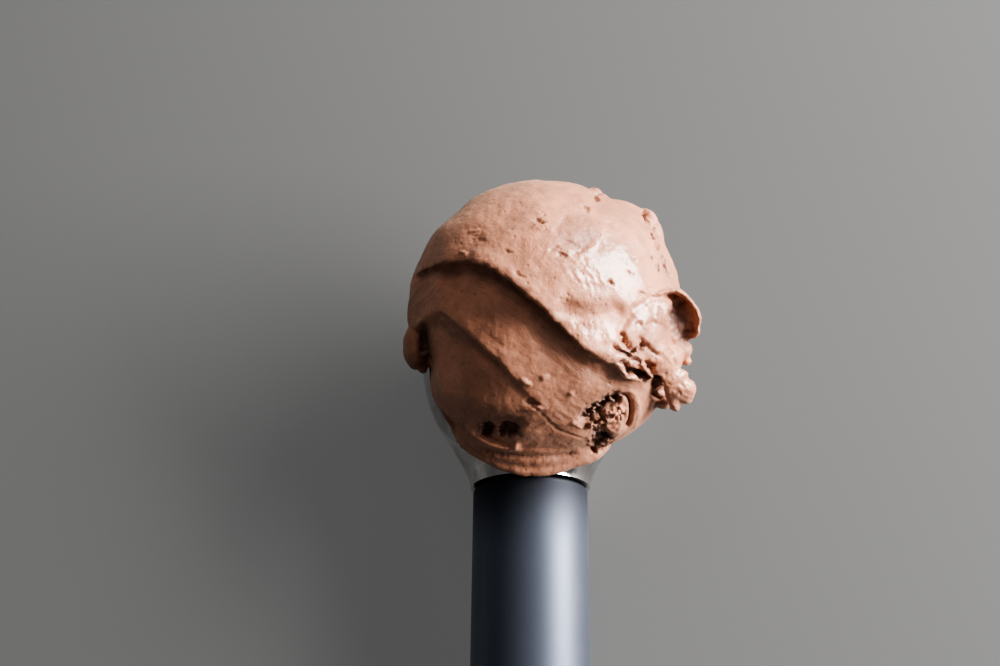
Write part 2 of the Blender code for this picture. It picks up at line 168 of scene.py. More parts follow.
SMALL_FINGER = ((25.2, 27.1, 48.4), (26.6, 25.4, 47), (28, 23.6, 45), (28.7, 22.7, 43.4))
TORN_THREAD = ((19.8, 30.6, 51.6), (22, 29.4, 50.8), (24.2, 28.6, 49.6), (26.6, 27, 47.6))
STRANDS = (
    (EAR_RIM, 0.7, 3, 0.4), (LOWER_LIP, 1.6, 1.7, 0.15), (RIM_SMEAR, 1.2, 0.8, 0.5),
    (RIGHT_BEAD, 1.1, 1.8, 1), (ARM, 3.4, 2.4, 0.3), (ARM_EDGE, 1.1, 1.6, 0.3), (FINGER, 0.7, 1.3, 0.4),
    (SMALL_FINGER, 0.8, 1.3, 0.4), (TORN_THREAD, 0.55, 1, 0.3),
)

# Hollows, each (x, y, long radius, short radius, turn in degrees, depth). A negative depth stands up.
PITS = (
    (-10.3, 11.2, 1.2, 1.2, 0, 2), (-5.2, 11, 2.3, 1.3, -6, 2.3), (-7.9, 12.4, 5.4, 2, 0, 1),
    (17.2, 13.4, 5, 3.2, 38, 1.2), (19, 12.7, 2.2, 2.8, 10, -0.9), (15.9, 8.9, 1.9, 1, 25, 1.6),
    (17.5, 9.2, 0.8, 0.6, 0, 1.2), (14.3, 6.6, 0.8, 0.7, 0, 1.2), (34.9, 36, 2.4, 4.4, 14, 2.2),
    (10.4, 12.3, 1.2, 0.5, -20, -0.5), (24.4, 24.4, 2.7, 0.85, -26, 3.6), (24, 29.8, 0.9, 0.7, 0, 1.6),
    (25.6, 30.4, 0.5, 1.1, 0, 1.5), (21.5, 26.6, 1.3, 0.5, -38, 1.4), (27.6, 26.2, 1.5, 0.45, -52, 1.6),
    (21.4, 33, 0.6, 1.4, 25, 0.8), (27.6, 35.8, 1.1, 0.4, 10, 0.4), (24.9, 35.7, 0.5, 0.4, 0, 0.5),
    (14.9, 65.2, 0.5, 0.9, 30, 1.1), (0.2, 17.5, 1.7, 0.5, -12, 0.7), (0.8, 16, 2.2, 0.4, 6, -0.5),
    (-1.3, 22.1, 1.2, 0.6, -30, -0.5), (3.2, 23.1, 0.8, 0.6, 0, -0.4), (9.3, 19.4, 0.7, 0.4, -20, -0.35),
    (2.1, 59.5, 1.8, 0.3, -4, 0.6), (2.1, 58.2, 2, 0.7, 0, -0.35), (5.1, 53.3, 1.1, 0.35, 12, 0.4),
    (7.2, 51.6, 1.3, 0.4, -8, 0.6), (8.9, 54.6, 1.4, 0.3, -6, 0.4), (10.9, 52.4, 0.9, 0.4, 20, 0.6),
    (11.4, 53.6, 1.6, 0.3, -10, 0.4), (18.5, 45.4, 0.7, 0.5, -50, 0.7), (18.1, 59.3, 0.8, 0.3, -20, 0.4),
    (12.7, 62.5, 0.9, 0.35, -25, 0.6), (23.9, 50.5, 0.9, 0.3, -55, 0.5), (22.9, 47.6, 1, 0.3, -30, 0.4),
    (25.9, 42.6, 1, 0.35, -40, 0.6), (27.4, 44.2, 0.9, 0.3, -40, 0.4), (26.4, 60.4, 0.4, 1.6, 25, 1.2),
    (28.2, 56.3, 0.5, 0.9, 20, 1), (29.4, 53.8, 0.6, 0.7, 15, 1), (28.2, 51, 0.4, 0.8, 20, 0.7),
    (29.5, 48.6, 0.5, 0.9, 25, 0.8), (-5.2, 52.6, 1.1, 0.35, -25, 0.35), (-11.8, 55.3, 0.8, 0.4, -10, 0.3),
    (-2.6, 46.9, 1.3, 0.35, -35, 0.5), (-15.6, 52.2, 0.9, 0.4, -10, -0.45), (-13, 57.4, 1.2, 0.5, 5, -0.3),
)

# Cut and raised lines, each (points, half width, depth, raggedness). A negative depth stands up.
GROOVES = (
    (((10.9, 13.4), (13.5, 15), (16, 16.7), (18.5, 18.1), (21.4, 19.2)), 1, 2.8, 1),
    (((12.5, 11.4), (15, 12.8), (17.6, 14.2), (20, 15.6), (21.6, 16.4)), 0.8, -1.6, 0.9),
    (((20.2, 19.4), (22.2, 19), (23.2, 16.6), (22.9, 13.6), (21.8, 11.3)), 0.4, 1.7, 0.1),
    (((21.8, 20.6), (24, 19.4), (24.9, 16.4), (24.6, 13.4), (23.4, 10.9)), 0.6, -0.5, 0.1),
    (((-15, 13.4), (-12.8, 10.2), (-9.7, 8.3), (-6.5, 7.4), (-3.9, 7.3), (-2.2, 7.8)), 0.8, -2, 0.1),
    (((-13.4, 7.2), (-7.2, 5.4), (-0.2, 4.9), (6.7, 5.1), (11.4, 6)), 0.8, 1.1, 0.2),
    (((-2.5, 18.4), (2.1, 15.3), (5.6, 11.6), (10.2, 9.7), (13.4, 8.8)), 0.3, 0.35, 0.4),
    (((28.9, 23.6), (29.4, 21), (28.8, 18)), 0.9, 3.6, 0.2),
    (((18.6, 31), (20.9, 29.4), (23.2, 28.2)), 0.4, 1.3, 0.5),
    (((20.4, 32.2), (22.6, 30.4), (25.2, 28.6)), 0.4, 1, 0.5),
    (((24.6, 33), (27, 30.4), (29.6, 28)), 0.45, 0.9, 0.5),
    (((26.4, 26.6), (28.2, 24.2), (29.6, 22.6)), 0.4, 1.1, 0.4),
    (((31.2, 30.4), (33.2, 27.4), (34.6, 23.8)), 0.5, 0.6, 0.4),
    (((26, 61.8), (27.8, 58.6), (29, 55.4)), 0.35, 0.8, 0.6),
    (((30.2, 52.2), (31.2, 48.9), (32.4, 46.2)), 0.4, 1, 0.5),
    (((-25.2, 36.2), (-24.7, 32), (-24.9, 28.5)), 0.9, 1.1, 0.1),
)

# Wet patches that shine, each (x, y, long radius, short radius, turn in degrees, strength).
WET = (
    (17, 48.4, 9, 7, -15, 1), (1, 3.6, 16, 2.4, 0, 0.6), (1.6, 54.4, 2.8, 4.6, 20, 0.8), (2.2, 58, 2.6, 1.2, 0, 1),
    (15, 34.4, 6.6, 2.6, -12, 1), (26.2, 38.7, 4.8, 4, 30, 1), (33.5, 22, 3.4, 7.5, 26, 0.8),
    (22, 26, 6, 3, -30, 0.7), (-5, 9, 9, 3.6, -8, 0.5), (8, 25, 14, 7, -30, 0.3),
)
# The stippled patch, the wrinkles beside the large wet patch, and the puckered ear.
STIPPLE = (10.7, 57.2, 5, 4.2, 0, 1)
WRINKLES = (
    (10.9, 48.4, 4.2, 5.2, 15, 0.08), (15.6, 45.6, 5.6, 2, -10, 0.1), (15.4, 33.6, 5, 1.8, -14, 0.06),
    (27, 36.4, 5, 4.4, 0, 0.06), (32, 24, 3.2, 8, 28, 0.2),
)
# Painted shade, darker where shade falls: the ear's hollow under its rim, behind the blob and on the blob, and the
# crater's two holes.
PAINTED_SHADE_SPOTS = (
    (36.2, 36.6, 3.4, 6, 8, 0.5), (-24.6, 31, 1.6, 5.2, 0, 0.8), (-27.4, 29, 3, 5, 0, 0.5),
    (16, 16.7, 5.4, 1.4, 28, 0.7), (15.9, 8.6, 2.6, 1.8, 25, 0.6),
)
# Where the surface is torn: the crater's crumbs and pocket, and round the fingers.
TORN = (
    (17.4, 13.4, 5, 1.6, 30, 1), (15.8, 8.4, 3, 2.2, 25, 0.9), (23, 28.6, 4.4, 1.9, -40, 0.45),
)


# Small helpers for curves and fields.

def smoothstep(low, high, value):
    share = np.clip((value - low) / (high - low), 0.0, 1.0)
    return share * share * (3.0 - 2.0 * share)


def bezier(start, start_handle, end_handle, end, count):
    corners = [Vector((*corner, 0.0)) for corner in (start, start_handle, end_handle, end)]
    return [(point.x, point.y) for point in interpolate_bezier(*corners, count)]


def smooth_path(points, steps):
    """A Catmull-Rom curve through the points."""
    knots = [np.array(point, float) for point in points]
    knots = [2 * knots[0] - knots[1], *knots, 2 * knots[-1] - knots[-2]]
    path = []
    for a, b, c, d in zip(knots, knots[1:], knots[2:], knots[3:]):
        for t in np.arange(steps) / steps:
            bend = (2 * a - 5 * b + 4 * c - d) * t**2 + (3 * b - a - 3 * c + d) * t**3
            path.append(0.5 * (2 * b + (c - a) * t + bend))
    return [*path, knots[-2]]


def from_line(x, y, line):
    """Each point's distance to a line in plan, positive on its right, the share along it and the way right."""
    path = smooth_path(line, 3)
    spans = len(path) - 1
    nearest = np.full(len(x), np.inf)
    signed, along = np.zeros(len(x)), np.zeros(len(x))
    right = np.zeros((len(x), 2))
    for index in range(spans):
        (ax, ay), (bx, by) = path[index], path[index + 1]
        dx, dy = bx - ax, by - ay
        length = math.hypot(dx, dy)
        share = np.clip(((x - ax) * dx + (y - ay) * dy) / length**2, 0.0, 1.0)
        off_x, off_y = x - ax - share * dx, y - ay - share * dy
        distance = np.hypot(off_x, off_y)
        closer = distance < nearest
        side = np.where(dx * off_y - dy * off_x < 0.0, 1.0, -1.0)
        nearest = np.where(closer, distance, nearest)
        signed = np.where(closer, side * distance, signed)
        along = np.where(closer, (index + share) / spans, along)
        right[closer] = dy / length, -dx / length
    return signed, along, right


def as_seen(x, y, z):
    """Where points appear in the level plane at SEEN_Z."""
    nearer = (VIEW_Z - SEEN_Z) / (VIEW_Z - z)
    return VIEW_X + (x - VIEW_X) * nearer, VIEW_Y + (y - VIEW_Y) * nearer


def placed(x, y, z):
    """The point at height z that appears at x, y."""
    nearer = (VIEW_Z - SEEN_Z) / (VIEW_Z - z)
    return VIEW_X + (x - VIEW_X) / nearer, VIEW_Y + (y - VIEW_Y) / nearer, z


def turned_plan(x, y, turn):
    """Distances in plan along a way that is turned from +X by so many degrees, and across it."""
    c, s = math.cos(math.radians(turn)), math.sin(math.radians(turn))
    return x * c + y * s, y * c - x * s


def patch(x, y, spot, soft):
    """1 inside an oval spot, falling to 0 over its edge, times the spot's strength."""
    centre_x, centre_y, long_radius, short_radius, turn, strength = spot
    along, across = turned_plan(x - centre_x, y - centre_y, turn)
    distance = np.hypot(along / long_radius, across / short_radius)
    return strength * (1.0 - smoothstep(1.0 - soft, 1.0 + soft, distance))


def noise_at(points, scale, octaves=1):
    """Smooth noise from -1 to 1 at points in millimetres, with features about 1 / scale across."""
    points = np.asarray(points) * scale
    total = np.zeros(len(points))
    for octave in range(octaves):
        shifted = points * 2.0**octave + 17.3 * octave
        total += np.array([noise.noise(point) for point in shifted.tolist()]) / 2.0**octave
    return total


def creases_at(points):
    """Noise with sharp ridges between rounded hollows, from -1 to 1."""
    return 1.0 - 2.0 * np.clip(2.2 * np.abs(noise_at(points, 1.0, 2)), 0.0, 1.0) ** 0.8


def ragged(points):
    """How far a line wanders at each point, in millimetres at most."""
    return 0.7 * noise_at(points, 0.6, 2) + 0.25 * noise_at(points + 31.0, 2.1)


# The scoop's frame and its objects.

def scoop_origin():
    """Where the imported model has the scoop's own origin, in millimetres."""
    low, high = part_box("bowl")
    sizes = bpy.context.scene.scoop_sizes
    return np.array(((low.x + high.x) / 2.0 / MM, high.y / MM - BOWL_Y - sizes.bowl_radius / MM, 0.0))


def mesh_from(shape, name):
    bmesh.ops.recalc_face_normals(shape, faces=shape.faces)
    mesh = bpy.data.meshes.new(name)
    shape.to_mesh(mesh)
    shape.free()
    return mesh


def vectors(items, key):
    values = np.empty(len(items) * 3, np.float32)
    items.foreach_get(key, values)
    return values.reshape(-1, 3).astype(float)


def mesh_points(mesh):
    return vectors(mesh.vertices, "co")


def move_points(mesh, points):
    mesh.vertices.foreach_set("co", points.astype(np.float32).ravel())
    mesh.update()


def new_object(name, data):
    made = bpy.data.objects.new(name, data)
    bpy.context.scene.collection.objects.link(made)
    return made


def mesh_piece(name, mesh, material, node=None):
    """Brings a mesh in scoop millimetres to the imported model's place, and makes it ride there."""
    move_points(mesh, (mesh_points(mesh) + scoop_origin()) * MM)
    mesh.materials.clear()
    mesh.materials.append(material)
    piece = new_object(name, mesh)
    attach(piece, "root")
    if node:
        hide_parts(node)


def shade_metal(mesh):
    """Smooth shading that keeps the edges over EDGE_ANGLE sharp."""
    mesh.shade_smooth()
    mesh.set_sharp_from_angle(angle=math.radians(EDGE_ANGLE))


def evaluated_mesh(source, name):
    """A plain mesh of what an object's modifiers make. The object itself is removed."""
    graph = bpy.context.evaluated_depsgraph_get()
    mesh = bpy.data.meshes.new_from_object(source.evaluated_get(graph))
    mesh.name = name
    bpy.data.objects.remove(source)
    return mesh


def loft(rings):
    """A closed body through rings of points; a ring of one point is a pole, and other ends get a flat cap."""
    shape = bmesh.new()
    made = [[shape.verts.new(point) for point in ring] for ring in rings]
    for first, second in zip(made, made[1:]):
        if len(second) == 1:
            first, second = second, first
        count = len(second)
        for index in range(count):
            after = (index + 1) % count
            if len(first) == 1:
                shape.faces.new((first[0], second[index], second[after]))
            else:
                shape.faces.new((first[index], first[after], second[after], second[index]))
    for end in (made[0], made[-1]):
        if len(end) > 1:
            shape.faces.new(end)
    return shape


# Node trees.

class Field:
    """A socket in a node tree; an expression on it adds its Math nodes."""

    def __init__(self, graph, socket):
        self.graph, self.socket = graph, socket

    def maths(self, operation, *values):
        return self.graph.add("ShaderNodeMath", {"operation": operation}, dict(enumerate(values)))

    def __add__(self, other):
        return self.maths("ADD", self, other)

    def __radd__(self, other):
        return self.maths("ADD", other, self)

    def __sub__(self, other):
        return self.maths("SUBTRACT", self, other)

    def __rsub__(self, other):
        return self.maths("SUBTRACT", other, self)

    def __mul__(self, other):
        return self.maths("MULTIPLY", self, other)

    def __rmul__(self, other):
        return self.maths("MULTIPLY", other, self)

    def __truediv__(self, other):
        return self.maths("DIVIDE", self, other)

    def __pow__(self, other):
        return self.maths("POWER", self, other)

    def clamped(self):
        return self.graph.add("ShaderNodeClamp", {}, {"Value": self})

    def range(self, low, high):
        """A smooth ramp from 0 to 1 while the value goes from low to high."""
        sockets = {"Value": self, "From Min": low, "From Max": high}
        return self.graph.add("ShaderNodeMapRange", {"interpolation_type": "SMOOTHSTEP"}, sockets)


class Graph:
    """A node tree that grows by calls."""

    def __init__(self, tree):
        self.tree = tree

    def node(self, kind, settings=None, sockets=None):
        made = self.tree.nodes.new(kind)
        for key, value in (settings or {}).items():
            setattr(made, key, value)
        for key, value in (sockets or {}).items():
            if isinstance(value, Field):
                self.tree.links.new(value.socket, made.inputs[key])
            else:
                made.inputs[key].default_value = value
        return made

    def add(self, kind, settings=None, sockets=None, output=0):
        return Field(self, self.node(kind, settings, sockets).outputs[output])

    def attribute(self, name, output="Fac"):
        return self.add("ShaderNodeAttribute", {"attribute_name": name}, output=output)

    def mix_colour(self, share, low, high):
        settings = {"data_type": "RGBA"}
        return self.add("ShaderNodeMix", settings, {0: share, 6: low, 7: high}, output=2)

    def noise(self, vector, scale, detail=2.0, roughness=0.5, distortion=0.0):
        sockets = {
            "Vector": vector, "Scale": scale, "Detail": detail, "Roughness": roughness, "Distortion": distortion,
        }
        return self.add("ShaderNodeTexNoise", {}, sockets)

    def random(self, kind, low, high, seed):
        """A random number ("FLOAT") or vector ("FLOAT_VECTOR") between two."""
        first, output = (2, 1) if kind == "FLOAT" else (0, 0)
        sockets = {first: low, first + 1: high, "Seed": seed}
        return self.add("FunctionNodeRandomValue", {"data_type": kind}, sockets, output)


class Finish:
    """A material whose Principled shader holds the constants, its node graph and each point's place."""

    def __init__(self, name, constants):
        self.material = bpy.data.materials.new(name)
        self.material.use_nodes = True
        self.shader = self.material.node_tree.nodes["Principled BSDF"]
        for socket, value in constants.items():
            self.shader.inputs[socket].default_value = value
        self.graph = Graph(self.material.node_tree)
        self.place = self.graph.add("ShaderNodeTexCoord", output="Object")

    def feed(self, socket, field):
        """Links what changes over the surface to one of the shader's sockets."""
        self.graph.tree.links.new(field.socket, self.shader.inputs[socket])

    def bump(self, strength, distance, height):
        sockets = {"Strength": strength, "Distance": distance, "Height": height}
        self.feed("Normal", self.graph.add("ShaderNodeBump", {}, sockets))


def opaque(colour):
    """The colour with its fourth channel."""
    return (*colour, 1.0)


# Finishes.

def chocolate_finish():
    """Moist chocolate ice cream: matt where it is airy, glossy where it has begun to melt."""
    look = bpy.context.scene.scoop_ice_cream
    finish = Finish("chocolate_ice_cream", {
        "Specular IOR Level": 0.4,
        "Coat Roughness": 0.2,
        "Coat IOR": 1.4,
        "Sheen Weight": 0.12,
        "Sheen Roughness": 0.5,
        "Sheen Tint": (1.0, 0.88, 0.68, 1.0),
    })
    graph, place = finish.graph, finish.place
    flow = graph.attribute("flow", "Vector")
    clouds = graph.noise(place, 120.0, 4.0, 0.65)
    grain = graph.noise(place, 1100.0, 4.0, 0.7)
    drag_and_shade = graph.attribute("drag_and_shade") * graph.noise(place, 90.0).range(0.35, 0.65)
    lines = graph.noise(flow, 1.0, 3.0, 0.6)
    pebbles = graph.noise(place, 750.0, 2.0, 0.5)
    hollow, wet = graph.attribute("hollow"), graph.attribute("wet")
    dark, pale = opaque(look.dark_colour), opaque(look.colour)
    pores = graph.add("ShaderNodeTexVoronoi", {"feature": "F1"}, {"Vector": place, "Scale": 620.0})
    speckled = (1.0 - pores.range(0.08, 0.36)) * graph.noise(place, 260.0).range(0.5, 0.62)
    # Painted shade: the hollow attribute pulls the colour towards the dark colour in pits, grooves and shaded
    # spots. The clouds are the ice cream's own tone, and the pores that the bump presses in are darker.
    airy = (clouds.range(0.38, 0.62) * 0.35 + 0.65) * (1.0 - hollow * 0.8) * (1.0 - speckled * 0.35)
    # Marks and painted shade: the dragged streaks darken the colour along the lip, most in the recess under it.
    airy = airy * (1.0 - drag_and_shade * (1.0 - lines.range(0.35, 0.62)) * 0.3)
    finish.feed("Base Color", graph.mix_colour(airy.clamped(), dark, pale))
    dry = 1.0 - wet
    rough = look.roughness - wet * (look.roughness - look.wet_roughness) + (grain - 0.5) * 0.3 * dry
    finish.feed("Roughness", rough.clamped())
    finish.feed("Coat Weight", wet)
    height = (grain * 0.6 + lines * drag_and_shade * 0.9) * (0.25 + dry * 0.75)
    finish.bump(0.6, 0.0005, height + pebbles * wet * 1.3 - speckled * 0.4)
    return finish.material


def metal_finish():
    """Polished cast metal, with faint scratches round it and a clouding of frost and melted cream. Its brown tint
    is the cream's, and also a painted reflection of the ice cream.
    """
    colour = opaque(bpy.context.scene.scoop_sizes.metal_colour)
    finish = Finish("polished_metal", {"Metallic": 1.0})
    graph, place = finish.graph, finish.place
    smeared = graph.add("ShaderNodeMapping", {}, {"Vector": place, "Scale": (260.0, 90.0, 200.0)})
    cream_haze_and_reflection = graph.noise(smeared, 1.0, 4.0, 0.6, 0.5).range(0.32, 0.75)
    polished = graph.add("ShaderNodeMapping", {}, {"Vector": place, "Scale": (900.0, 90.0, 900.0)})
    scratches = graph.noise(polished, 1.0, 3.0, 0.6)
    # Painted reflection: the brown mix is melted cream on the metal, and also stands in for the ice cream mirrored
    # in it.
    finish.feed("Base Color", graph.mix_colour(cream_haze_and_reflection * 0.6, colour, (0.4, 0.31, 0.26, 1.0)))
    finish.feed("Roughness", 0.11 + cream_haze_and_reflection * 0.16 + (scratches - 0.5) * 0.08)
    finish.bump(0.08, 0.0002, scratches + cream_haze_and_reflection * 0.5)
    return finish.material


def grip_finish():
    """A dark slate coating with a satin sheen and a fine blasted grain."""
    colour = opaque(bpy.context.scene.scoop_sizes.grip_colour)
    finish = Finish("satin_slate", {"Metallic": 0.85, "Specular IOR Level": 0.5})
    graph, place = finish.graph, finish.place
    grain = graph.noise(place, 3500.0, 2.0, 0.6)
    wear = graph.noise(place, 45.0, 3.0, 0.6).range(0.4, 0.7)
    # Painted shade: the coating turns darker and rougher towards the seam, where it lies under the ball.
    seam = scoop_origin()[1]
    shade = graph.add("ShaderNodeSeparateXYZ", {}, {0: place}, output=1).range((seam - GRIP_SHADE) * MM, seam * MM)
    worn = graph.mix_colour(wear * 0.1, colour, (0.24, 0.25, 0.27, 1.0))
    finish.feed("Base Color", graph.mix_colour(shade, worn, (0.03, 0.032, 0.04, 1.0)))
    finish.feed("Roughness", 0.41 + (grain - 0.5) * 0.1 + wear * 0.03 + shade * 0.2)
    finish.bump(0.12, 0.0001, grain)
    return finish.material


def floor_finish():
    """A matt floor that glows by itself: painted light, brighter towards the window."""
    stage = bpy.context.scene.scoop_stage
    finish = Finish("glowing_floor", {
        "Roughness": 0.75, "Specular IOR Level": 0.25, "Emission Strength": stage.floor_glow,
    })
    graph, place = finish.graph, finish.place
    cloudy = graph.noise(place, 6.0, 2.0, 0.5)
    paler = opaque(min(1.0, 1.05 * channel) for channel in stage.floor_colour)
    finish.feed("Base Color", graph.mix_colour(cloudy, opaque(stage.floor_colour), paler))
    # Painted light: the glow grows across the floor towards the window.
    across = graph.add("ShaderNodeSeparateXYZ", {}, {0: place})
    towards_window = (across * 3.2 + 0.5).clamped()
    finish.feed("Emission Color", graph.mix_colour(towards_window, (0.5, 0.505, 0.49, 1.0), (1.0, 1.0, 1.0, 1.0)))
    return finish.material


# The bowl.

def rim_height(y):
    """The front of the metal: flat at the rim, rising to the top of the neck."""
    rise = AXIS_Z + NECK_RADIUS + 0.4 - RIM_Z
    return RIM_Z + rise * (1.0 - float(smoothstep(-2.0, 9.0, y)))


def bowl_section(y, half_width, depth, centre_z, slope, rounding):
    """A ring across the bowl: an oval from below, cut level at the front with rounded corners."""
    top = min(rim_height(y), centre_z + depth)
    corner_x = half_width * math.sqrt(max(0.0, 1.0 - ((top - centre_z) / depth) ** 2))
    rounded = min(rounding, 0.45 * corner_x)
    start = math.asin(max(-1.0, min(1.0, (top - rounded - centre_z) / depth)))
    arc = [
        (half_width * math.cos(angle), centre_z + depth * math.sin(angle))
        for angle in np.linspace(start, -math.pi - start, 97)
    ]
    low, sharp, flat = Vector((*arc[0], 0.0)), Vector((corner_x, top, 0.0)), Vector((corner_x - rounded, top, 0.0))
    right = [(p.x, p.y) for p in interpolate_bezier(low, low.lerp(sharp, 0.6), flat.lerp(sharp, 0.6), flat, 6)]
    left = [(-x, z) for x, z in right]
    across = [(x, top) for x in np.linspace(left[-1][0], right[-1][0], 9)]
    outline = [*arc, *left[1:], *across[1:], *reversed(right[1:-1])]
    ring = []
    for x, z in outline:
        z = max(0.0, z)
        ring.append((x, y + slope * SEAM_SLOPE * (z - AXIS_Z), z))
    return ring


def bowl_outside(radius, rounding):
    flank = bezier((SEAM_Y, NECK_RADIUS), (3.5, 14.6), (10.5, radius), (BOWL_Y, radius), 64)
    back_y, back_z = np.transpose(
        bezier((SEAM_Y, AXIS_Z - NECK_RADIUS), (5.0, NECK_HUMP), (12.0, NECK_HUMP), (BOWL_Y, 0.0), 120)
    )
    rings = []
    for y, half_width in flank:
        towards_bowl = float(smoothstep(SEAM_Y, BOWL_Y - 6.0, y))
        centre_z = AXIS_Z + (RIM_Z - AXIS_Z) * towards_bowl
        depth = centre_z - float(np.interp(y, back_y, back_z)) + (radius - RIM_Z) * towards_bowl
        slope = 1.0 - float(smoothstep(SEAM_Y, SEAM_Y + SLOPE_FADE, y))
        rings.append(bowl_section(y, half_width, depth, centre_z, slope, rounding))
    for angle in np.linspace(0.0, 0.5 * math.pi, 40)[1:-1]:
        small = radius * math.cos(angle)
        rings.append(bowl_section(BOWL_Y + radius * math.sin(angle), small, small, RIM_Z, 0.0, rounding))
    rings.append([(0.0, BOWL_Y + radius, RIM_Z - 0.5 * rounding)])
    shape = loft(rings)
    bmesh.ops.remove_doubles(shape, verts=shape.verts, dist=0.002)
    return shape


def cavity(radius, flare):
    """The hollow of the bowl, with a mouth that rounds off the rim's inner edge."""
    profile = [
        (radius * math.sin(angle), RIM_Z - radius * math.cos(angle))
        for angle in np.linspace(0.0, 0.5 * math.pi - flare / radius, 48)
    ]
    for angle in np.radians(np.linspace(8.0, 80.0, 7)):
        profile.append((radius + flare * (1.0 - math.cos(angle)), RIM_Z - flare * (1.0 - math.sin(angle))))
    profile.append((radius + 1.15 * flare, RIM_Z + 0.06 * flare))
    profile.append((radius + 1.15 * flare, RIM_Z + 20.0))
    angles = 2.0 * math.pi * np.arange(160) / 160
    rings = [[(0.0, BOWL_Y, RIM_Z - radius)]]
    for ring_radius, z in profile[1:]:
        rings.append([(ring_radius * math.cos(a), BOWL_Y + ring_radius * math.sin(a), z) for a in angles])
    return loft(rings)


# The grip.

def add_inputs(tree, inputs):
    """Gives a node group its named inputs and returns them by name, with each one's identifier."""
    identifiers = {}
    for name, (kind, default) in inputs.items():
        socket = tree.interface.new_socket(name, in_out="INPUT", socket_type=kind)
        if default is not None:
            socket.default_value = default
        identifiers[name] = socket.identifier
    return identifiers


def new_geometry_tree(name, inputs):
    """A Geometry Nodes tree with named inputs: the graph, a field for each input and their identifiers."""
    tree = bpy.data.node_groups.new(name, "GeometryNodeTree")
    identifiers = add_inputs(tree, inputs)
    tree.interface.new_socket("Geometry", in_out="OUTPUT", socket_type="NodeSocketGeometry")
    graph = Graph(tree)
    group = graph.node("NodeGroupInput")
    fields = {key: Field(graph, group.outputs[key]) for key in inputs}
    return graph, fields, identifiers


def finish_tree(graph, geometry, material):
    """Ends a tree in Realize Instances and Set Material."""
    whole = graph.add("GeometryNodeRealizeInstances", {}, {"Geometry": geometry})
    painted = graph.add("GeometryNodeSetMaterial", {}, {"Geometry": whole, "Material": material})
    graph.node("NodeGroupOutput", {}, {"Geometry": painted})


def made_by_tree(name, mesh, graph, identifiers, values):
    """The plain mesh that a tree makes from a starting mesh."""
    start = new_object(name, mesh)
    modifier = start.modifiers.new(name, "NODES")
    modifier.node_group = graph.tree
    for key, value in values.items():
        modifier[identifiers[key]] = value
    return evaluated_mesh(start, name)


def grip_tree():
    """A round body along -Y: a shoulder, a slow swell and a round end, its first rings leaning with the seam."""
    number, whole = "NodeSocketFloat", "NodeSocketInt"
    graph, given, identifiers = new_geometry_tree("round_grip", {
        "Length": (number, 100.0), "Top Radius": (number, 10.0), "Widest Radius": (number, 12.0),
        "Widest At": (number, 60.0), "Shoulder": (number, 1.0), "Lean": (number, 0.3), "Lean Fade": (number, 15.0),
        "Rings": (whole, 100), "Sides": (whole, 64), "Material": ("NodeSocketMaterial", None),
    })
    line = graph.add("GeometryNodeCurvePrimitiveLine", {}, {"End": (0.0, -1.0, 0.0)})
    spaced = graph.add("GeometryNodeResampleCurve", {}, {"Curve": line, "Count": given["Rings"]})
    circle = graph.add("GeometryNodeCurvePrimitiveCircle", {}, {"Resolution": given["Sides"], "Radius": 1.0})
    sockets = {"Curve": spaced, "Profile Curve": circle, "Fill Caps": True}
    tube = graph.add("GeometryNodeCurveToMesh", {}, sockets)
    split = graph.node("ShaderNodeSeparateXYZ", {}, {0: graph.add("GeometryNodeInputPosition")})
    x, y, z = (Field(graph, output) for output in split.outputs)
    share = (1.0 - (y * -math.pi).maths("COSINE", y * -math.pi)) * 0.5
    distance = share * given["Length"]
    swell = (distance / given["Widest At"]).clamped().maths("SMOOTH_MIN", distance / given["Widest At"], 1.0, 0.35)
    body = given["Top Radius"] + (given["Widest Radius"] - given["Top Radius"]) * swell
    past = ((distance - given["Widest At"]) / (given["Length"] - given["Widest At"])).clamped()
    round_end = (1.0 - past**END_SQUARENESS).clamped() ** END_BLUNTNESS
    near = (1.0 - distance / given["Shoulder"]).clamped()
    round_top = given["Shoulder"] * (1.0 - (1.0 - near * near).clamped() ** 0.5)
    radius = (body - round_top) * round_end
    lean = given["Lean"] * (1.0 - distance.range(0.0, given["Lean Fade"]))
    new_place = graph.add("ShaderNodeCombineXYZ", {}, {
        "X": x * radius, "Y": z * radius * lean - distance, "Z": z * radius,
    })
    shaped = graph.add("GeometryNodeSetPosition", {}, {"Geometry": tube, "Position": new_place})
    merged = graph.add("GeometryNodeMergeByDistance", {}, {"Geometry": shaped, "Distance": 0.001})
    finish_tree(graph, merged, given["Material"])
    return graph, identifiers


# The ice cream.

def outline_swell(azimuth):
    """How far the ball's outline stands out, by the angle round it in degrees."""
    swell = np.zeros(len(azimuth))
    for centre, spread, height in OUTLINE:
        off = (azimuth - centre + 180.0) % 360.0 - 180.0
        swell += height * np.exp(-((off / spread) ** 2))
    return swell


def overhang(below, reach, along):
    """How far an upper edge leans out over what is below it; it is sharpest at the edge."""
    lean = np.exp(-((np.minimum(below, 0.0) / 2.5) ** 2)) * (1.0 - smoothstep(0.0, 1.1, below))
    return reach * lean * smoothstep(0.0, 0.2, along) * (1.0 - 0.7 * smoothstep(0.8, 1.0, along))


def fold_depth(x, below):
    """The step down under the upper layer's lip, and the lip's own raised edge."""
    step = 0.8 * smoothstep(0.0, 1.0, below) + 0.2 * smoothstep(1.0, 5.0, below)
    coming_back = 0.5 + 0.5 * np.exp(-np.maximum(below - 4.5, 0.0) / 16.0)
    narrowing = 1.4 - 0.4 * smoothstep(-24.0, -8.0, x) - 0.5 * smoothstep(4.0, 27.0, x)
    raised = 0.5 * np.exp(-(((below + 1.2) / 1.3) ** 2))
    return FOLD_DEPTH * step * coming_back * narrowing - raised


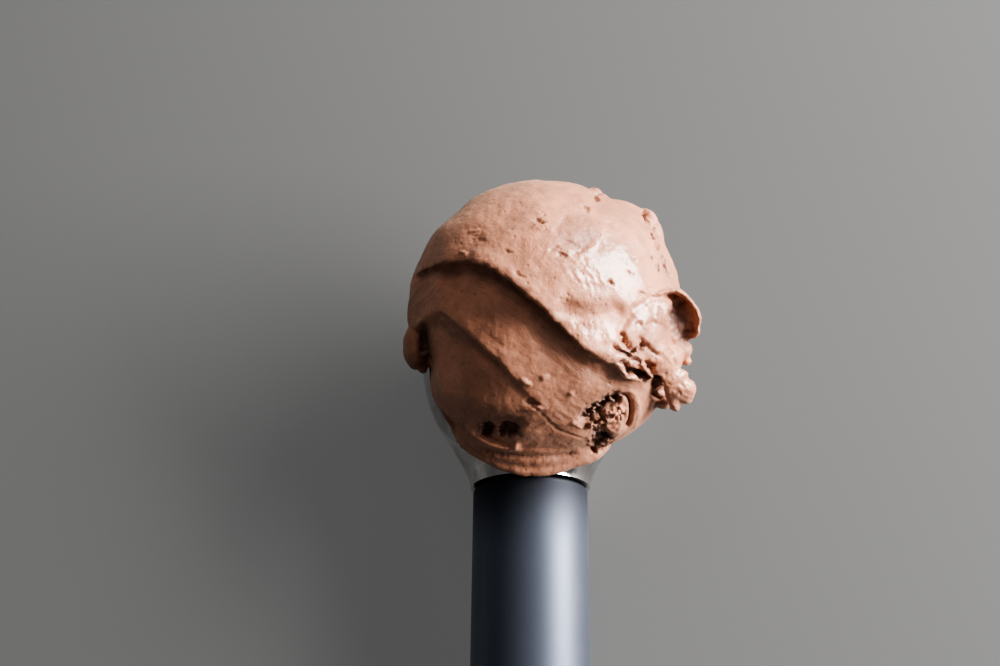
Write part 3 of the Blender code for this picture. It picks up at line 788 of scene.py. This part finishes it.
def ridge_depth(x, y, below):
    """The hollow flank to the lower left of the ridge, deepest beside the bowl's left rim."""
    to_the_left = 0.12 + 0.88 * smoothstep(-3.0, -23.0, x)
    upwards = smoothstep(12.0, 33.0, y)
    sloping = np.clip(below / (4.6 - 2.2 * smoothstep(-21.0, -10.0, x)), 0.0, 1.0)
    return RIDGE_DEPTH * sloping * sloping * (3.0 - 2.0 * sloping) * to_the_left * upwards


def ridge_edge(x, below):
    """The rise to the lower half of the ridge, and the sharp drop beyond it."""
    drop = 1.2 * smoothstep(-0.3, 1.6, below) * np.exp(-np.maximum(below, 0.0) / 5.0)
    rise = 0.25 * np.exp(np.minimum(below, 0.0) / 4.5) * (1.0 - smoothstep(-0.3, 1.6, below))
    return (drop - rise) * smoothstep(-20.0, -10.0, x) * (1.0 - 0.85 * smoothstep(-5.0, 0.5, x))


def valley_depth(below, along):
    """A rounded bulge rolls down to the line, and a ledge rises from it to the lip."""
    rolling_down = smoothstep(-5.0, -0.3, below)
    rising = 0.35 * smoothstep(-0.1, 0.8, below) + 0.65 * smoothstep(0.8, 5.2, below)
    ends = smoothstep(0.0, 0.2, along) * (1.0 - smoothstep(0.85, 1.0, along))
    return VALLEY_DEPTH * rolling_down * (1.0 - rising) * ends


def ball_shape(subdivisions):
    """A dome pushed back by the folds of its front."""
    shape = bmesh.new()
    bmesh.ops.create_icosphere(shape, subdivisions=subdivisions, radius=1.0)
    unit = np.array([vert.co for vert in shape.verts])
    azimuth = np.degrees(np.arctan2(unit[:, 1], unit[:, 0]))
    near_outline = np.exp(-((unit[:, 2] / 0.5) ** 2))
    unevenness = noise_at(unit, 4.0)
    radius = BALL_RADIUS + outline_swell(azimuth) * near_outline + 0.5 * unevenness
    x, y = BALL_X + unit[:, 0] * radius, BALL_Y + unit[:, 1] * radius
    z = BALL_Z + unit[:, 2] * np.where(unit[:, 2] > 0.0, BALL_FRONT + 0.6 * unevenness, BALL_BACK)
    seen_x, seen_y = as_seen(x, y, z)
    below_fold, along_fold, under_fold = from_line(seen_x, seen_y, FOLD)
    below_ridge, along_ridge, under_ridge = from_line(seen_x, seen_y, RIDGE)
    wander = ragged(np.stack((x, y, z), axis=1))
    below_fold = below_fold + 0.8 * wander
    below_ridge = below_ridge + 0.4 * wander
    depth = fold_depth(seen_x, below_fold)
    depth += ridge_depth(seen_x, seen_y, below_ridge) + ridge_edge(seen_x, below_ridge)
    below_valley, along_valley, _ = from_line(seen_x, seen_y, VALLEY)
    depth += valley_depth(below_valley + 0.4 * wander, along_valley)
    depth += CREASE_DEPTH * np.exp(-((from_line(seen_x, seen_y, EAR_CREASE)[0] / CREASE_WIDTH) ** 2))
    front = smoothstep(-0.1, 0.35, unit[:, 2])
    lean = front * overhang(below_fold, 1.1, along_fold)
    ridge_lean = front * overhang(below_ridge, 0.7, 0.12 + along_ridge)
    points = np.stack((x, y, z - depth * front), axis=1)
    points[:, :2] += lean[:, None] * under_fold + ridge_lean[:, None] * under_ridge
    for vert, point in zip(shape.verts, points):
        vert.co = point
    return shape


def add_lump(shape, centre, radii, turn):
    made = bmesh.ops.create_icosphere(shape, subdivisions=4, radius=1.0)["verts"]
    bmesh.ops.scale(shape, vec=radii, verts=made)
    turned = Euler((0.0, 0.0, math.radians(turn))).to_matrix()
    bmesh.ops.rotate(shape, matrix=turned, cent=(0.0, 0.0, 0.0), verts=made)
    bmesh.ops.translate(shape, vec=centre, verts=made)


def strand_shape(points, across, upwards, unevenness):
    """A strand with an oval section, thick and thin in turn, and tapered, rounded ends."""
    path = [Vector(point) for point in smooth_path(points, 6)]
    rings = [[path[0]]]
    for index in range(1, len(path) - 1):
        tangent = path[index + 1] - path[index - 1]
        sideways = Vector((tangent.y, -tangent.x, 0.0)).normalized()
        share = index / (len(path) - 1)
        taper = min(1.0, 0.45 + 4.0 * min(share, 1.0 - share))
        taper *= 1.0 + unevenness * noise.noise(path[index] * 0.6)
        ring = []
        for step in range(16):
            angle = 2.0 * math.pi * step / 16
            offset = sideways * across * math.cos(angle) + Vector((0.0, 0.0, upwards * math.sin(angle)))
            ring.append(path[index] + offset * taper)
        rings.append(ring)
    rings.append([path[-1]])
    return loft(rings)


def fused_ball(voxel, subdivisions):
    """One skin round the dome, its lumps and its strands, in millimetres."""
    shape = ball_shape(subdivisions)
    for centre, radii, turn in LUMPS:
        add_lump(shape, placed(*centre), radii, turn)
    bmesh.ops.recalc_face_normals(shape, faces=shape.faces)
    for points, *section in STRANDS:
        strand = mesh_from(strand_shape([placed(*point) for point in points], *section), "strand")
        shape.from_mesh(strand)
        bpy.data.meshes.remove(strand)
    mesh = bpy.data.meshes.new("ball")
    shape.to_mesh(mesh)
    shape.free()
    source = new_object("ball_source", mesh)
    fuse = source.modifiers.new("fuse", "REMESH")
    fuse.mode = "VOXEL"
    fuse.voxel_size = voxel
    soften = source.modifiers.new("soften", "SMOOTH")
    soften.factor = 0.5
    soften.iterations = 2
    return evaluated_mesh(source, "chocolate_ball")


def stretched(points, x, y, turn, lengthwise, crosswise):
    """Coordinates for noise that is drawn out at a turn in degrees, with its features per millimetre."""
    along, across = turned_plan(x, y, turn)
    return np.stack((along * lengthwise, across * crosswise, points[:, 2] * lengthwise), axis=1)


def dragged(points, below_fold, along_fold):
    """Coordinates in millimetres that follow the lip: along it, and away from it with a slow sway."""
    sway = 1.6 * noise_at(points, 0.11) + 0.4 * noise_at(points, 0.4)
    return np.stack((75.0 * along_fold, below_fold + sway, 0.3 * points[:, 2]), axis=1)


def streaks(x, y, points, flow, below_fold):
    """Long fine marks that the scoop's edge dragged along the lip, strongest under it."""
    recess = smoothstep(0.3, 1.5, below_fold) * (1.0 - smoothstep(5.5, 10.0, below_fold))
    above = smoothstep(0.5, -1.5, below_fold)
    beyond = smoothstep(5.0, 10.0, below_fold) * (1.0 - smoothstep(17.0, 23.0, below_fold))
    patchy = 0.6 + 0.8 * noise_at(points, 0.15)
    along_lip = noise_at(flow * (0.12, 0.9, 0.3), 1.0, 3)
    sloping = noise_at(stretched(points, x, y + 0.8 * patchy, -36.0, 0.13, 0.9), 1.0, 3)
    return patchy * ((0.3 * recess + 0.06 * above) * along_lip + 0.14 * beyond * sloping)


def surface_relief(points):
    """How far each point of the ball's skin goes in, and the attributes that its finish reads."""
    x, y = as_seen(*points.T)
    below_fold, along_fold, _ = from_line(x, y, FOLD)
    flow = dragged(points, below_fold, along_fold)
    front = smoothstep(*RELIEF_Z, points[:, 2])
    wander, sideways = ragged(points), ragged(points + 57.0)
    cut_in = np.zeros(len(points))
    for pit in PITS:
        cut_in += patch(x + 0.9 * wander, y + 0.9 * sideways, pit, 0.4)
    jagged = creases_at(points * 0.9)
    for line, half_width, depth, raggedness in GROOVES:
        away, along, _ = from_line(x, y, line)
        away = away + raggedness * wander
        ends = smoothstep(0.0, 0.15, along) * (1.0 - smoothstep(0.85, 1.0, along))
        uneven = 1.0 + 0.5 * raggedness * jagged
        cut_in += depth * np.exp(-((away / half_width) ** 2)) * ends * uneven
    torn = sum(patch(x, y, spot, 0.4) for spot in TORN)
    folds = creases_at(stretched(points, x, y, -42.0, 0.35, 0.8))
    cut_in -= torn * (0.55 * folds + 0.25 * jagged - 0.1)
    stipple = patch(x, y, STIPPLE, 0.2)
    fine_lines = noise_at(stretched(points, x, y, -6.0, 0.6, 2.4), 1.0)
    cut_in += stipple * (0.3 + 0.16 * fine_lines)
    wrinkled = sum(patch(x, y, spot, 0.5) for spot in WRINKLES)
    cut_in -= wrinkled * creases_at(stretched(points, x, y, -40.0, 0.22, 0.5))
    grain = 0.08 * noise_at(points, 0.7, 2) + 0.05 * noise_at(points + 9.0, 2.2, 2)
    wet = np.zeros(len(points))
    for spot in WET:
        wet = np.maximum(wet, patch(x + wander, y - wander, spot, 0.4))
    wet *= front * (1.0 - stipple) * (1.0 - 0.5 * np.clip(torn, 0.0, 1.0))
    relief = front * (cut_in + streaks(x, y, points, flow, below_fold) * (1.0 - 0.5 * wet))
    relief += 0.22 * noise_at(points, 0.22, 2) + grain * (1.0 - 0.6 * wet)
    # Painted shade: the hollow attribute darkens where the relief cuts in and in the spots of painted shade; it
    # also holds the stippled patch's own darker tone.
    dark = sum(patch(x + wander, y + sideways, spot, 0.4) for spot in PAINTED_SHADE_SPOTS)
    hollow = np.clip(front * (cut_in * 0.5 + 0.45 * stipple + dark), 0.0, 1.0)
    # Where the dragged streaks are strongest, under the lip; there they also darken the colour as painted shade in
    # the recess.
    dragging_and_shade = (0.3 + 0.7 * smoothstep(-0.5, 0.5, below_fold)) * (1.0 - smoothstep(5.5, 10.0, below_fold))
    return relief, {"wet": wet, "hollow": hollow, "flow": flow * (0.3, 2.6, 0.5), "drag_and_shade": dragging_and_shade}


def store_attribute(mesh, name, values):
    values = np.asarray(values, np.float32)
    if values.ndim == 1:
        mesh.attributes.new(name, "FLOAT", "POINT").data.foreach_set("value", values)
    else:
        mesh.attributes.new(name, "FLOAT_VECTOR", "POINT").data.foreach_set("vector", values.ravel())


def relieved(mesh):
    """Presses the fine relief into the fused skin, and stores where it is wet, where its hollows take painted
    shade and where it is torn.
    """
    points = mesh_points(mesh)
    relief, looks = surface_relief(points)
    leaning_up = np.outer(smoothstep(*RELIEF_Z, points[:, 2]), (0.0, 0.0, 1.2))
    inwards = vectors(mesh.vertex_normals, "vector") + leaning_up
    inwards /= np.maximum(np.linalg.norm(inwards, axis=1, keepdims=True), 0.3)
    points -= relief[:, None] * inwards
    move_points(mesh, points)
    x, y = as_seen(*points.T)
    torn = np.clip(sum(patch(x, y, spot, 0.3) for spot in TORN), 0.0, 1.0)
    for name, values in looks.items():
        store_attribute(mesh, name, values)
    store_attribute(mesh, "torn", torn * smoothstep(26.0, 30.0, points[:, 2]))
    mesh.shade_smooth()
    return mesh


def crumb_tree():
    """Small torn crumbs strewn where the skin is torn, sunk into it."""
    number = "NodeSocketFloat"
    graph, given, identifiers = new_geometry_tree("torn_crumbs", {
        "Surface": ("NodeSocketGeometry", None), "Density": (number, 1.0), "Smallest": (number, 0.2),
        "Largest": (number, 0.6), "Seed": ("NodeSocketInt", 1), "Material": ("NodeSocketMaterial", None),
    })
    torn = graph.add("GeometryNodeInputNamedAttribute", {"data_type": "FLOAT"}, {"Name": "torn"})
    scattered = graph.node("GeometryNodeDistributePointsOnFaces", {}, {
        "Mesh": given["Surface"], "Density": torn * torn * given["Density"], "Seed": given["Seed"],
    })
    points, normal, turned = (Field(graph, scattered.outputs[key]) for key in ("Points", "Normal", "Rotation"))
    crumb = graph.add("GeometryNodeMeshIcoSphere", {}, {"Radius": 1.0, "Subdivisions": 2})
    size = graph.random("FLOAT", given["Smallest"], given["Largest"], given["Seed"] + 1)
    stretch = graph.random("FLOAT_VECTOR", (0.6, 0.6, 0.4), (1.5, 1.0, 0.8), given["Seed"] + 2)
    scale = graph.add("ShaderNodeVectorMath", {"operation": "SCALE"}, {0: stretch, "Scale": size})
    spun = graph.random("FLOAT", 0.0, 2.0 * math.pi, given["Seed"] + 3)
    twist = graph.add("ShaderNodeCombineXYZ", {}, {"Z": spun})
    rotation = graph.add("FunctionNodeRotateRotation", {"rotation_space": "LOCAL"}, {0: turned, 1: twist})
    strewn = graph.add("GeometryNodeInstanceOnPoints", {}, {
        "Points": points, "Instance": crumb, "Rotation": rotation, "Scale": scale,
    })
    realized = graph.add("GeometryNodeRealizeInstances", {}, {"Geometry": strewn})
    knobbly = graph.add("ShaderNodeTexNoise", {}, {"Scale": 1.3, "Detail": 1.0}, output=1)
    offset = graph.add("ShaderNodeVectorMath", {"operation": "SUBTRACT"}, {0: knobbly, 1: (0.5, 0.5, 0.5)})
    small = graph.add("ShaderNodeVectorMath", {"operation": "SCALE"}, {0: offset, "Scale": 0.7})
    bumpy = graph.add("GeometryNodeSetPosition", {}, {"Geometry": realized, "Offset": small})
    finish_tree(graph, bumpy, given["Material"])
    return graph, identifiers


# What a user can change.

def length_setting(name, description, default, precision=4):
    return bpy.props.FloatProperty(
        name=name, description=description, default=default, unit="LENGTH", precision=precision)


def colour_setting(name, description, default):
    return bpy.props.FloatVectorProperty(
        name=name, description=description, default=default, min=0.0, max=1.0, subtype="COLOR")


def share_setting(name, description, default):
    return bpy.props.FloatProperty(
        name=name, description=description, default=default, min=0.0, max=1.0, subtype="FACTOR")


def strength_setting(name, description, default, unit="NONE"):
    return bpy.props.FloatProperty(name=name, description=description, default=default, min=0.0, unit=unit)


class ScoopSizes(bpy.types.PropertyGroup):
    bowl_radius: length_setting("Bowl radius", "Outside radius of the bowl", 0.0254)
    bowl_wall: length_setting("Wall", "Thickness of the bowl's wall", 0.0023)
    rim_rounding: length_setting("Rim rounding", "Radius of the rim's edges", 0.0008)
    grip_radius: length_setting("Grip radius", "Radius of the grip at its widest", 0.0149)
    metal_colour: colour_setting("Metal", "Colour of the polished bowl", (0.80, 0.79, 0.78))
    grip_colour: colour_setting("Grip", "Colour of the grip's coating", (0.135, 0.151, 0.196))


class ScoopIceCream(bpy.types.PropertyGroup):
    voxel: length_setting("Fineness", "Size of the cells that fuse the ice cream", 0.0004, 5)
    colour: colour_setting("Ice cream", "Colour where the ice cream is airy", (0.465, 0.196, 0.116))
    # The dark colour is the ice cream's own darker tone where the clouds vary, and also painted shade where the
    # hollow attribute darkens it.
    dark_colour: colour_setting("Dense ice cream", "Colour in hollows and dense spots", (0.11, 0.052, 0.037))
    roughness: share_setting("Roughness", "Roughness where it is dry", 0.45)
    wet_roughness: share_setting("Wet roughness", "Roughness where it has melted", 0.34)
    seed: bpy.props.IntProperty(name="Seed", description="Places of the torn crumbs", default=4)


class ScoopStage(bpy.types.PropertyGroup):
    floor_colour: colour_setting("Floor", "Colour of the floor", (0.055, 0.055, 0.0545))
    # The floor's glow is painted light, brighter towards the window; no lamp lies behind it.
    floor_glow: strength_setting("Floor glow", "How bright the backlit floor is by itself", 0.125)
    key_power: strength_setting("Key light", "Power of the soft window light", 55.0, "POWER")
    strip_power: strength_setting("Strip light", "Power of the long light beside the grip", 2.0, "POWER")
    fill_power: strength_setting("Fill light", "Power of the fill from above", 2.3, "POWER")
    room_light: strength_setting("Room", "Strength of the light from all round", 0.12)


# What makes the pieces.

class SCOOP_OT_add_bowl(bpy.types.Operator):
    """Add the cast metal bowl and neck"""
    bl_idname = "scoop.add_bowl"
    bl_label = "Bowl"

    def execute(self, context):
        sizes = context.scene.scoop_sizes
        radius, rounding = sizes.bowl_radius / MM, sizes.rim_rounding / MM
        shell = new_object("shell", mesh_from(bowl_outside(radius, rounding), "shell"))
        hollow = new_object("hollow", mesh_from(cavity(radius - sizes.bowl_wall / MM, rounding), "hollow"))
        cut = shell.modifiers.new("cavity", "BOOLEAN")
        cut.operation = "DIFFERENCE"
        cut.solver = "EXACT"
        cut.object = hollow
        mesh = evaluated_mesh(shell, "bowl_casting")
        bpy.data.objects.remove(hollow)
        shade_metal(mesh)
        mesh_piece("bowl_casting", mesh, metal_finish(), "bowl")
        return {"FINISHED"}


class SCOOP_OT_add_grip(bpy.types.Operator):
    """Add the satin grip"""
    bl_idname = "scoop.add_grip"
    bl_label = "Grip"

    def execute(self, context):
        graph, identifiers = grip_tree()
        finish = grip_finish()
        mesh = made_by_tree("round_grip", bpy.data.meshes.new("start"), graph, identifiers, {
            "Length": GRIP_LENGTH, "Top Radius": GRIP_TOP_RADIUS,
            "Widest Radius": context.scene.scoop_sizes.grip_radius / MM, "Widest At": GRIP_SWELL_AT,
            "Shoulder": GRIP_SHOULDER, "Lean": SEAM_SLOPE, "Lean Fade": SLOPE_FADE,
            "Rings": 200, "Sides": 128, "Material": finish,
        })
        move_points(mesh, mesh_points(mesh) + (0.0, SEAM_Y - SEAM_GAP, AXIS_Z))
        shade_metal(mesh)
        mesh_piece("slate_grip", mesh, finish, "handle")
        return {"FINISHED"}


class SCOOP_OT_add_ice_cream(bpy.types.Operator):
    """Add the folded ball of ice cream and its torn crumbs"""
    bl_idname = "scoop.add_ice_cream"
    bl_label = "Ice cream"

    def execute(self, context):
        look = context.scene.scoop_ice_cream
        finish = chocolate_finish()
        mesh = relieved(fused_ball(look.voxel / MM, subdivisions=8))
        graph, identifiers = crumb_tree()
        crumbs = made_by_tree("torn_crumbs", mesh.copy(), graph, identifiers, {
            "Density": 0.18, "Smallest": 0.3, "Largest": 0.8, "Seed": look.seed, "Material": finish,
        })
        # The crumbs take the wet patches and the painted shade of the skin where they lie.
        looks = surface_relief(mesh_points(crumbs))[1]
        for name in ("wet", "hollow"):
            store_attribute(crumbs, name, looks[name])
        crumbs.shade_smooth()
        mesh_piece("chocolate_ball", mesh, finish, "ice_cream")
        mesh_piece("torn_crumbs", crumbs, finish)
        return {"FINISHED"}


def area_light(name, way, target, distance, sizes, power, colour):
    """A rectangular light, that far from its target in the direction given, lying level along its first size."""
    light = bpy.data.lights.new(name, "AREA")
    light.shape = "RECTANGLE"
    light.size, light.size_y = sizes
    light.energy, light.color = power, colour
    lamp = new_object(name, light)
    towards = Vector(way).normalized()
    lamp.location = target + distance * towards
    lamp.rotation_euler = towards.to_track_quat("Z", "Y").to_euler()
    return lamp


class SCOOP_OT_add_stage(bpy.types.Operator):
    """Add the floor, the lights and the camera"""
    bl_idname = "scoop.add_stage"
    bl_label = "Stage"

    def execute(self, context):
        stage = context.scene.scoop_stage
        shape = bmesh.new()
        bmesh.ops.create_grid(shape, x_segments=1, y_segments=1, size=2.0)
        floor = new_object("floor", mesh_from(shape, "floor"))
        floor.data.materials.append(floor_finish())
        floor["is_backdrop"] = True
        ball = Vector(scoop_origin() + (BALL_X, BALL_Y, BALL_Z)) * MM
        area_light("window", (0.82, 0.4, 0.36), ball, 0.9, (0.95, 0.4), stage.key_power, (1.0, 0.98, 0.955))
        area_light("strip", (0.80, -0.1, 0.58), ball, 0.9, (0.9, 0.3), stage.strip_power, (0.88, 0.94, 1.0))
        fill = area_light("fill", (-0.18, 0.7, 0.69), ball, 1.0, (0.4, 0.2), stage.fill_power, (0.94, 0.97, 1.0))
        fill.visible_glossy = False
        world = bpy.data.worlds.new("room")
        world.use_nodes = True
        background = world.node_tree.nodes["Background"]
        background.inputs["Color"].default_value = (0.77, 0.78, 0.8, 1.0)
        background.inputs["Strength"].default_value = stage.room_light
        context.scene.world = world
        camera = bpy.data.cameras.new("camera")
        camera.lens, camera.sensor_width, camera.clip_start = LENS, SENSOR, 0.01
        stand = new_object("camera", camera)
        stand.location = (scoop_origin() + (VIEW_X, VIEW_Y, VIEW_Z)) * MM
        context.scene.camera = stand
        context.scene.view_settings.look = "AgX - Medium High Contrast"
        return {"FINISHED"}


class SCOOP_PT_panel(bpy.types.Panel):
    """Lists the scoop's pieces and settings"""
    bl_idname = "SCOOP_PT_panel"
    bl_label = "Loaded Scoop"
    bl_space_type = "VIEW_3D"
    bl_region_type = "UI"
    bl_category = "Scoop"

    def draw(self, context):
        layout = self.layout
        for operator in OPERATORS:
            layout.operator(operator.bl_idname)
        for group in (context.scene.scoop_sizes, context.scene.scoop_ice_cream, context.scene.scoop_stage):
            box = layout.box()
            for key in group.bl_rna.properties.keys():
                if key not in ("rna_type", "name"):
                    box.prop(group, key)


GROUPS = {"scoop_sizes": ScoopSizes, "scoop_ice_cream": ScoopIceCream, "scoop_stage": ScoopStage}
OPERATORS = (SCOOP_OT_add_bowl, SCOOP_OT_add_grip, SCOOP_OT_add_ice_cream, SCOOP_OT_add_stage)


def register():
    for made in (*GROUPS.values(), *OPERATORS, SCOOP_PT_panel):
        bpy.utils.register_class(made)
    for name, group in GROUPS.items():
        setattr(bpy.types.Scene, name, bpy.props.PointerProperty(type=group))


def unregister():
    for name in GROUPS:
        delattr(bpy.types.Scene, name)
    for made in reversed((*GROUPS.values(), *OPERATORS, SCOOP_PT_panel)):
        bpy.utils.unregister_class(made)


def corners(box):
    return [[float(value) for value in corner] for corner in box]


def main():
    register()
    bpy.ops.scoop.add_bowl()
    bpy.ops.scoop.add_grip()
    bpy.ops.scoop.add_ice_cream()
    bpy.ops.scoop.add_stage()
    {"cad": corners(CAD_BOX), "visual": corners(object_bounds())}


if __name__ == "__main__":
    main()
